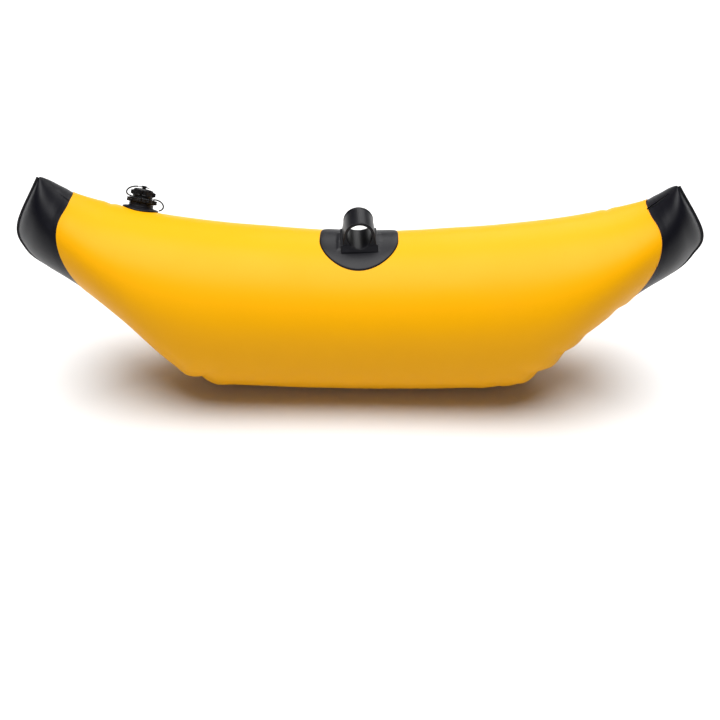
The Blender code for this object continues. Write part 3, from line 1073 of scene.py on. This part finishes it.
class ArmSocket:
    """The welded flange and the block with the tube that takes the cross arm."""

    def __init__(self, size: SocketSize, hull: HullSize, ground: Ground, paints: Paints) -> None:
        """Keeps what the socket stands on.

        Args:
            size: Its dimensions.
            hull: The air tube's dimensions.
            ground: The skin.
            paints: The materials.
        """
        self.size, self.hull, self.ground, self.paints = size, hull, ground, paints
        self.top = hull.stations[0].top_z * MM + hull.lip_width
        self.half_width = hull.stations[0].half_width * MM

    def flange(self) -> bpy.types.Object:
        """The disc, with a bead round its edge and a raised pad under the block.

        Returns:
            The piece.
        """
        size = self.size
        thick = size.flange_thick + 0.4 * MM
        outline = [(r * MM, thick) for r in np.linspace(1, 47, 24)]
        edge = [(49.0, 0.0), (50.5, -0.15), (52.0, -0.15), (53.0, -0.35), (53.6, -0.8)]
        edge += [(53.95, -1.4), (54.0, -2.0)]
        outline += [(r * MM, thick + dz * MM) for r, dz in edge]
        outline.append((53.9 * MM, -0.6 * MM))
        outline.append((40 * MM, -1.0 * MM))

        def pad(x: float, y: float, radius: float) -> float:
            if radius > 47 * MM:
                return 0.0
            across = np.clip((size.pad_half - abs(x)) / (0.9 * MM) + 0.5, 0, 1)
            along = np.clip((size.length / 2 - abs(y)) / (1.2 * MM) + 0.5, 0, 1)
            return float(size.pad_rise * across * along)

        def reach(turn: float) -> float:
            power = size.far_square if math.sin(turn) > 0 else 2.0
            return (abs(math.cos(turn)) ** power + abs(math.sin(turn)) ** power) ** (-1 / power)

        place = Matrix.Translation((size.shift, 0, self.top))
        paint = self.paints.get(MOULDED_PVC)
        piece = self.ground.disc("arm_socket_flange", place, outline, paint, pad, reach, 180)
        return attach(piece, Body.FLOAT, Slot.MOULDED, "socket_flange")

    def form(
        self, name: str, outline: Sequence[tuple[float, float]], start: float, end: float, way: int
    ) -> bpy.types.Object:
        """A straight-sided form.

        Args:
            name: Its name.
            outline: Points across it, as (x, z) or (y, z).
            start: Where it starts along its length.
            end: Where it ends.
            way: 1 if its length runs along Y, 0 along X.

        Returns:
            The form.
        """
        points = []
        for level in (start, end):
            points += [((a, level, z) if way else (level, a, z)) for a, z in outline]
        count = len(outline)
        faces = grid_faces(2, count)
        faces += [tuple(range(count)), tuple(range(2 * count - 1, count - 1, -1))]
        return make_mesh(name, points, faces)

    def moulding(self) -> bpy.types.Object:
        """The block, tube and toes as one moulding with rounded edges.

        Returns:
            The piece.
        """
        size, top = self.size, self.top
        centre = top + size.rise
        half = size.length / 2
        deep = top - 14 * MM
        arc = [math.radians(12 + 156 * i / 48) for i in range(49)]
        outline = [(size.foot_half, deep)]
        outline += [(size.tube_r * math.cos(a), centre + size.tube_r * math.sin(a)) for a in arc]
        outline.append((-size.foot_half, deep))
        block = self.form("arm_socket_moulding", outline, -half, half, 1)
        reach = size.toe_reach
        low, high = top + size.toe_edge - 1.5 * MM, top + size.toe_height - 1 * MM
        profile = [(-reach, deep), (-reach, low), (-half, high), (half, high), (reach, low), (reach, deep)]
        side = size.foot_half - 1.5 * MM
        toes = self.form("toes", profile, -side, side, 0)
        circle = [np.array((math.cos(a), math.sin(a))) for a in np.linspace(0, 2 * np.pi, 97)[:-1]]
        ring = [(size.tube_r + 0.7 * MM) * point for point in circle]
        wide = 2.4 * MM
        collars = [
            self.form("collar", [(x, centre + z) for x, z in ring], y, y + wide, 1)
            for y in (-half, half - wide)
        ]
        hole = [(size.bore_r * x, centre + size.bore_r * z) for x, z in circle]
        bore = self.form("bore", hole, -0.05, 0.05, 1)
        seat_r = self.half_width + size.flange_thick + size.pad_rise + 0.2 * MM
        seat = self.form(
            "seat", [(seat_r * x, top - self.half_width + seat_r * z) for x, z in circle], -0.05, 0.05, 0
        )
        added = (toes, *collars)
        for other in (*added, bore, seat):
            operation = "UNION" if other in added else "DIFFERENCE"
            tool = block.modifiers.new(other.name, "BOOLEAN")
            tool.operation, tool.object, tool.solver = operation, other, "EXACT"
        voxels = block.modifiers.new("round", "REMESH")
        voxels.mode, voxels.voxel_size, voxels.use_smooth_shade = "VOXEL", size.voxel, True
        soft = block.modifiers.new("soften", "SMOOTH")
        soft.factor, soft.iterations = 0.5, 3
        settle(block)
        for form in (toes, *collars, bore, seat):
            bpy.data.objects.remove(form)
        block.data.materials.clear()
        block.data.materials.append(self.paints.get(MOULDED_PVC))
        block.data.shade_smooth()
        askew = Matrix.Rotation(math.radians(size.turn), 4, "Z")
        block.matrix_world = Matrix.Translation((size.shift, 0, 0)) @ askew
        return attach(block, Body.FLOAT, Slot.MOULDED, "arm_socket")

    def build(self) -> None:
        """Builds the flange and the moulding."""
        self.flange()
        self.moulding()


# ---------------------------------------------------------------- the valve


@dataclass(frozen=True)
class ValveSize:
    """The valve's dimensions in millimetres along its own axis, the same as the CAD model's."""

    x: float = -310
    y: float = 57
    base_r: float = 25
    base_high: float = 3.6
    neck_r: float = 17
    neck_top: float = 8
    neck_bore: float = 14.5
    barrel_r: float = 14.1
    ring_r: float = 18.5
    ring_lug: float = 2.6
    cap_r: float = 13.8
    cap_wing: float = 3.8
    thread_pitch: float = 3
    thread_depth: float = 0.28
    strap_r: float = 1.05


class Valve:
    """The two-cap inflation valve with its tethers."""

    def __init__(self, size: ValveSize, ground: Ground, paints: Paints, surface: HullSurface) -> None:
        """Finds the valve's place on the skin.

        Args:
            size: Its dimensions.
            ground: The skin.
            paints: The materials.
            surface: The smooth tube, which gives the valve's axis as the CAD model has it.
        """
        self.size, self.ground, self.paints = size, ground, paints
        self.place = self.find_place(surface)

    def find_place(self, surface: HullSurface) -> Matrix:
        """The valve's frame: its Z is the skin's normal and its X runs along the float.

        Args:
            surface: The smooth tube.

        Returns:
            The frame.
        """
        u, angle = np.meshgrid(np.linspace(-4.9, 0, 240), np.linspace(0, np.pi, 161), indexing="ij")
        points = surface.points(u, angle).reshape(-1, 3)
        faces = grid_faces(u.shape[0], u.shape[1], closed=False)
        tree = BVHTree.FromPolygons([Vector(p) for p in points], faces)
        start = Vector((self.size.x * MM, self.size.y * MM, 1.0))
        hit, normal, _, _ = tree.ray_cast(start, Vector((0, 0, -1)))
        normal = normal if normal.z > 0 else -normal
        along = (Vector((1, 0, 0)) - normal * normal.x).normalized()
        turn = Matrix((along, normal.cross(along), normal)).transposed().to_4x4()
        return Matrix.Translation(hit) @ turn

    def spin(
        self,
        name: str,
        outline: Sequence[tuple[float, float]],
        finish: Finish,
        body: Body,
        node: str,
        radius: float = 0.4,
        shape: Callable[[float, float, float], float] | None = None,
    ) -> bpy.types.Object:
        """A turned valve piece from corners in millimetres.

        Args:
            name: Its name.
            outline: Its corners, as radius and height.
            finish: Its finish.
            body: The body it rides on.
            node: The CAD node it stands for.
            radius: The rounding of its corners in millimetres.
            shape: Radius to add, in millimetres, at an angle, a radius and a height.

        Returns:
            The piece.
        """
        corners = [*outline, outline[0]]
        smooth = rounded(corners, radius)[:-1]
        scaled = [(r * MM, z * MM) for r, z in smooth]
        grow = (lambda turn, r, z: shape(turn, r / MM, z / MM) * MM) if shape else None
        piece = turned(name, scaled, self.place, self.paints.get(finish), grow)
        slot = Slot.GASKET if finish is SEAL_RUBBER else Slot.VALVE
        return attach(piece, body, slot, node)

    def thread(self, turn: float, z: float) -> float:
        """The screw thread's height.

        Args:
            turn: The angle in radians.
            z: The height in millimetres.

        Returns:
            A height in millimetres, at most thread_depth.
        """
        phase = (z / self.size.thread_pitch - turn / (2 * math.pi)) % 1.0
        return self.size.thread_depth * (1 - abs(2 * phase - 1)) - self.size.thread_depth

    def base(self) -> bpy.types.Object:
        """The weld-on base: a conical rim, a weld groove and the neck with its bore.

        Returns:
            The piece.
        """
        s = self.size
        outline = [(s.neck_bore, -6), (s.neck_bore, s.neck_top - 0.4), (s.neck_bore + 0.5, s.neck_top)]
        outline += [(s.neck_r, s.neck_top), (s.neck_r, s.base_high + 0.8), (s.neck_r + 0.9, s.base_high)]
        outline += [(19.6, s.base_high), (20.2, 3.2), (20.9, 3.4), (23.6, 2.4), (24.6, 2.1)]
        outline += [(s.base_r, 1.6), (s.base_r, -0.4), (20, -1.0)]
        points = [(r * MM, z * MM) for r, z in rounded(outline, 0.5)]
        flat_from = 17.6 * MM
        rings, steps = [], 160
        for radius, rise in points:
            for j in range(steps):
                turn = 2 * math.pi * j / steps
                x, y = radius * math.cos(turn), radius * math.sin(turn)
                skin = self.ground.height(self.place, x, y) if radius > flat_from else 0.0
                rings.append((x, y, rise + skin))
        faces = grid_faces(len(points), steps)
        last = (len(points) - 1) * steps
        faces += [(last + j, last + (j + 1) % steps, (j + 1) % steps, j) for j in range(steps)]
        piece = make_mesh("valve_base_flange", rings, faces, self.paints.get(MOULDED_PVC))
        piece.matrix_world = self.place
        return attach(piece, Body.FLOAT, Slot.MOULDED, "valve_base")

    def body(self) -> None:
        """The screw-in body with its lugged grip ring and its seat."""
        s = self.size
        barrel = [(s.barrel_r, z) for z in np.arange(-8, 8.4, 0.4)]
        outline = [(1.4, -8), *barrel, (s.barrel_r, 8.7), (s.ring_r - 1.2, 8.7), (s.ring_r, 9.7)]
        outline += [(s.ring_r, 12.2), (s.ring_r - 0.5, 12.5), (s.ring_r - 0.5, 12.9), (s.ring_r, 13.2)]
        outline += [(s.ring_r, 14.4), (s.ring_r - 1.0, 15.4), (12.2, 15.4), (12, 15.8), (12, 25), (10, 25)]
        outline += [(10, -5.6), (1.4, -5.6)]

        def shape(turn: float, r: float, z: float) -> float:
            if r > s.ring_r - 0.6 and 9.2 < z < 14.9:
                ribs = 0.18 * math.cos(turn * 72)
                return s.ring_lug * lugs(turn, 8, 0.5) + ribs
            if abs(r - s.barrel_r) < 0.05 and z < 7.6:
                return self.thread(turn, z)
            return 0.0

        self.spin("valve_screw_body", outline, VALVE_PLASTIC, Body.SCREW, "valve_body", 0.35, shape)

    def cap(self) -> None:
        """The top cap with its wings, ribs and the button that holds its tether."""
        s = self.size
        skirt = s.cap_r + 0.35
        outline = [(12.6, 17.6), (s.cap_r, 17.6), (skirt, 18.4), (skirt, 19.6), (s.cap_r, 20.2)]
        outline += [(s.cap_r, z) for z in (21, 22, 23, 24, 25, 26)]
        outline += [(s.cap_r - 0.2, 26.6), (12.7, 28.3), (9, 28.8), (8.6, 28.4), (6, 28.4)]
        outline += [(5.6, 29.1), (2.6, 29.3), (2.6, 32.0), (4.4, 32.0), (4.3, 33.0)]
        outline += [(0.3, 33.6), (0.3, 26.5), (12.6, 26.5)]

        def shape(turn: float, r: float, z: float) -> float:
            if r > 12.9 and 17.5 < z < 27.5:
                ribs = 0.16 * math.cos(turn * 60) if z > 20 else 0.0
                high = np.clip((z - 19.2) / 1.2, 0, 1) * np.clip((26.4 - z) / 1.2, 0, 1)
                return s.cap_wing * high * lugs(turn, 4, 0.13) + ribs
            return 0.0

        self.spin("valve_top_cap", outline, VALVE_PLASTIC, Body.CAP, "top_cap", 0.5, shape)

    def rings(self) -> None:
        """The tethers' rings, which the caps turn in."""
        for name, level, body, node in (
            ("body_tether_ring_piece", 15.75, Body.CARRIER, "body_tether_ring"),
            ("cap_tether_anchor_piece", 16.75, Body.SCREW, "cap_tether_anchor"),
        ):
            outline = [(12.4, level), (14.6, level), (14.6, level + 0.6), (12.4, level + 0.6)]
            self.spin(name, outline, VALVE_PLASTIC, body, node, 0.2)
        outline = [(3.0, 30.6), (7.4, 30.6), (7.6, 31.1), (7.4, 31.6), (3.0, 31.6)]
        self.spin("cap_tether_ring_piece", outline, VALVE_PLASTIC, Body.CAP_CARRIER, "cap_tether_ring", 0.3)

    def strap(
        self, name: str, start: tuple[float, float], end: tuple[float, float], bulge: float, rise: float
    ) -> bpy.types.Object:
        """A thin moulded strap as a tube with flattened ends.

        Args:
            name: Its name.
            start: Where it starts, as x and z in millimetres in the valve's frame.
            end: Where it ends.
            bulge: How far it stands out in X.
            rise: How far it stands up in Z.

        Returns:
            The strap, placed on the valve.
        """
        steps, around = 72, 14
        points = []
        for i in range(steps + 1):
            turn = math.pi * i / steps
            share = (1 - math.cos(turn)) / 2
            x = start[0] + (end[0] - start[0]) * share + bulge * math.sin(turn)
            z = start[1] + (end[1] - start[1]) * share + rise * math.sin(turn)
            dx = (end[0] - start[0]) * math.sin(turn) / 2 + bulge * math.cos(turn)
            dz = (end[1] - start[1]) * math.sin(turn) / 2 + rise * math.cos(turn)
            size = math.hypot(dx, dz)
            side = Vector((-dz / size, 0, dx / size))
            wide = 1 + 1.2 * max(0.0, 1 - min(i, steps - i) / 5)
            for j in range(around):
                a = 2 * math.pi * j / around
                offset = side * math.cos(a) + Vector((0, wide * math.sin(a), 0))
                points.append(Vector((x, 0, z)) + offset * self.size.strap_r)
        faces = grid_faces(steps + 1, around)
        faces += [tuple(range(around)), tuple(range((steps + 1) * around - 1, steps * around - 1, -1))]
        piece = make_mesh(name, [p * MM for p in points], faces, self.paints.get(VALVE_PLASTIC))
        piece.data.transform(self.place)
        return piece

    def point(self, x: float, z: float) -> Vector:
        """A point of the valve's mid plane in the row frame.

        Args:
            x: Along the float, in millimetres.
            z: Along the valve's axis.

        Returns:
            The point in metres.
        """
        return self.place @ Vector((x * MM, 0, z * MM))

    def tethers(self) -> None:
        """The two straps, each drawn as a curved loop between the pieces that hold its ends."""
        lower = self.strap("body_tether_loop", (15.5, 16.3), (26, 2.8), 9, 3)
        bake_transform(lower)
        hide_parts("body_tether_strap")
        upper = self.strap("cap_tether_loop", (-8.4, 31.1), (-15.5, 16.65), -11, 0)
        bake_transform(upper)
        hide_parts("cap_tether_strap")
        LOG.info("tethers bend between their bodies")

    def build(self) -> None:
        """Builds the valve from its base up."""
        self.base()
        self.body()
        self.cap()
        self.rings()
        self.tethers()


# ---------------------------------------------------------------- carried-over CAD nodes


def finish_inner_nodes(paints: Paints) -> None:
    """Gives the sealed inner CAD nodes their real finishes.

    Args:
        paints: The materials.
    """
    finishes = {
        "body_gasket": SEAL_RUBBER,
        "cap_gasket": SEAL_RUBBER,
        "check_flap": SEAL_RUBBER,
        "flap_pin": VALVE_PLASTIC,
    }
    for node, finish in finishes.items():
        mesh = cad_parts[node].data
        mesh.materials.clear()
        mesh.materials.append(paints.get(finish))
        LOG.info("%s is %s", node, finish.name)


# ---------------------------------------------------------------- studio


@dataclass(frozen=True)
class Softbox:
    """One studio light, aimed at the float."""

    name: str
    position: tuple[float, float, float]
    size: float
    watts: float
    colour: tuple[float, float, float] = (1.0, 1.0, 1.0)


@dataclass(frozen=True)
class StudioSize:
    """The studio's layout and its camera."""

    azimuth: float = 1.15
    elevation: float = 33.5
    distance: float = 1.6
    target_height: float = 0.114
    tip_down: float = 2.53  # degrees that the camera looks below the float
    lens: float = 55.95
    floor_size: float = 14.0
    world: float = 0.07
    overhead: float = 5.3  # strength of the even light from a ceiling of softboxes
    overhead_degrees: float = 55.0
    softboxes: tuple[Softbox, ...] = (
        Softbox("front_fill", (-1.0, -2.2, 1.3), 1.2, 4.0),
        Softbox("back_edge", (0.3, 1.6, 1.3), 1.0, 10.0),
    )


class Studio:
    """The pale floor, the lights and the camera."""

    def __init__(self, size: StudioSize, paints: Paints) -> None:
        """Keeps the layout.

        Args:
            size: The layout.
            paints: The materials.
        """
        self.size, self.paints = size, paints
        self.target = Vector((0, 0, size.target_height))

    def floor(self) -> None:
        """A plain pale floor."""
        half = self.size.floor_size / 2
        corners = [(-half, -half, 0), (half, -half, 0), (half, half, 0), (-half, half, 0)]
        make_mesh("studio_floor", corners, [(0, 1, 2, 3)], self.paints.get(PAPER))

    def lights(self) -> None:
        """Softboxes, an even ceiling of light and a dim white room."""
        ceiling = bpy.data.lights.new("ceiling", "SUN")
        ceiling.energy, ceiling.angle = self.size.overhead, math.radians(self.size.overhead_degrees)
        above = bpy.data.objects.new("ceiling", ceiling)
        bpy.context.scene.collection.objects.link(above)
        for box in self.size.softboxes:
            data = bpy.data.lights.new(box.name, "AREA")
            data.shape, data.size, data.energy, data.color = "SQUARE", box.size, box.watts, box.colour
            light = bpy.data.objects.new(box.name, data)
            light.location = box.position
            aim = self.target - Vector(box.position)
            light.rotation_euler = aim.to_track_quat("-Z", "Y").to_euler()
            bpy.context.scene.collection.objects.link(light)
        world = bpy.data.worlds.new("white_room")
        world.use_nodes = True
        background = world.node_tree.nodes["Background"]
        background.inputs["Color"].default_value = linear("#FFFFFF")
        background.inputs["Strength"].default_value = self.size.world
        bpy.context.scene.world = world

    def camera(self) -> None:
        """The camera, raised over the near side."""
        size = self.size
        azimuth, elevation = math.radians(size.azimuth), math.radians(size.elevation)
        level = math.cos(elevation)
        back = Vector((math.sin(azimuth) * level, -math.cos(azimuth) * level, math.sin(elevation)))
        data = bpy.data.cameras.new("studio_camera")
        data.lens, data.sensor_width = size.lens, 36.0
        camera = bpy.data.objects.new("studio_camera", data)
        facing = (-back).to_track_quat("-Z", "Y").to_matrix().to_4x4()
        tip = Matrix.Rotation(math.radians(-size.tip_down), 4, "X")
        camera.matrix_world = Matrix.Translation(self.target + back * size.distance) @ facing @ tip
        bpy.context.scene.collection.objects.link(camera)
        bpy.context.scene.camera = camera

    def build(self) -> None:
        """Builds the studio."""
        self.floor()
        self.lights()
        self.camera()
        bpy.context.scene.view_settings.view_transform = "Standard"


def main() -> None:
    """Builds the float and its studio, piece by piece."""
    logging.basicConfig(level=logging.INFO, format="%(message)s")
    paints = Paints()
    hull = HullSize()
    Studio(StudioSize(), paints).build()
    tube = AirTube(hull, CreaseSet(), paints)
    ground = Ground(tube.build())
    ArmSocket(SocketSize(), hull, ground, paints).build()
    smooth = HullSurface(replace(hull, left_nose=hull.stations[5:], right_nose=hull.stations[5:]))
    Valve(ValveSize(), ground, paints, smooth).build()
    finish_inner_nodes(paints)


if __name__ == "__main__":
    main()
